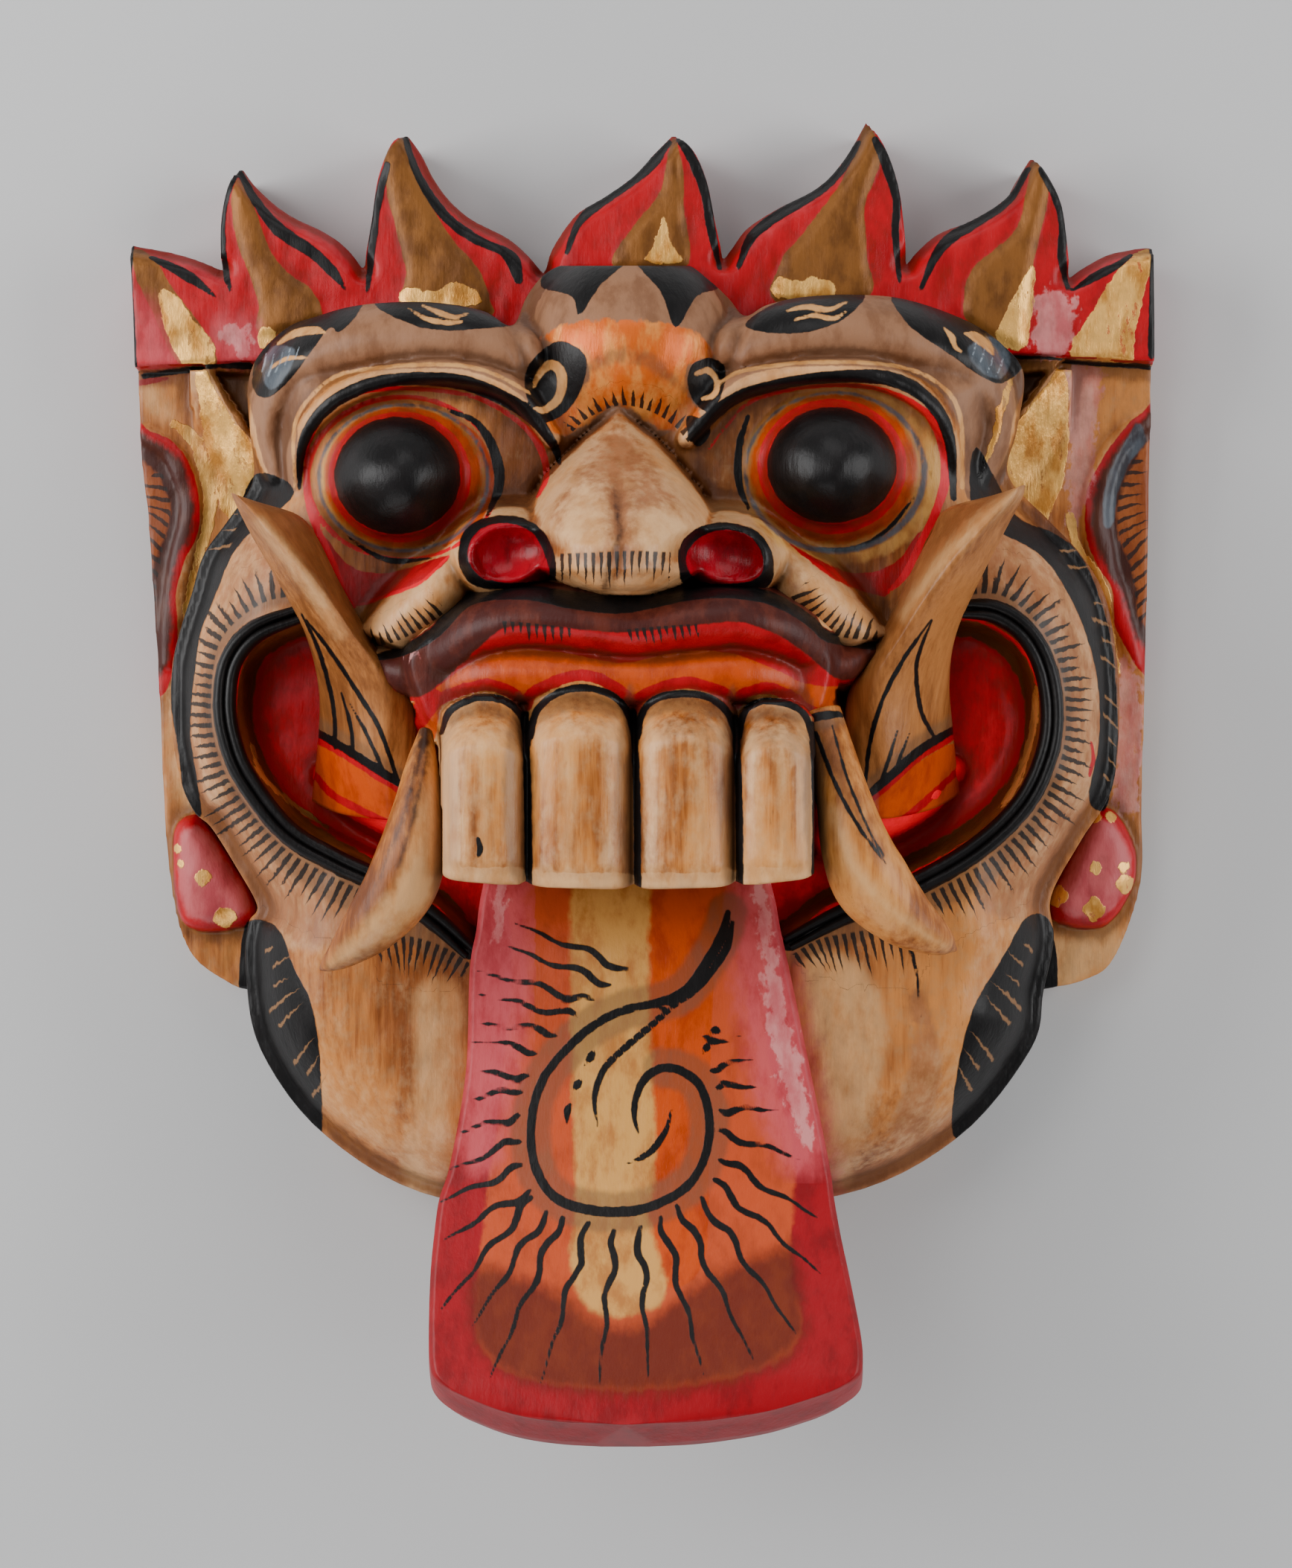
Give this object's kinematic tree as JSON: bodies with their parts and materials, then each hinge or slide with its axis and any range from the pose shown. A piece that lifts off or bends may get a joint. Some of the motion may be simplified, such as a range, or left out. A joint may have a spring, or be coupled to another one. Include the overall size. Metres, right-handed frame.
{
  "type": "rangda mask",
  "caption": "Carved and painted wooden demon mask with flame crown, bulging eyes, fangs, curved tusks and a long tongue, hollow behind, lying face up.",
  "frame": {"origin": "middle of the footprint, on the plane of the hollow back's rim", "axes": "+Z out of the face, +Y towards the crown, +X to the right as the face is looked at"},
  "size_m": [0.255, 0.3178, 0.113],
  "materials": {
    "painted_wood": "satin varnish over brushed paint, gold leaf and bare light wood"
  },
  "bodies": {
    "root": {"mask": "painted_wood"}
  },
  "joints": []
}
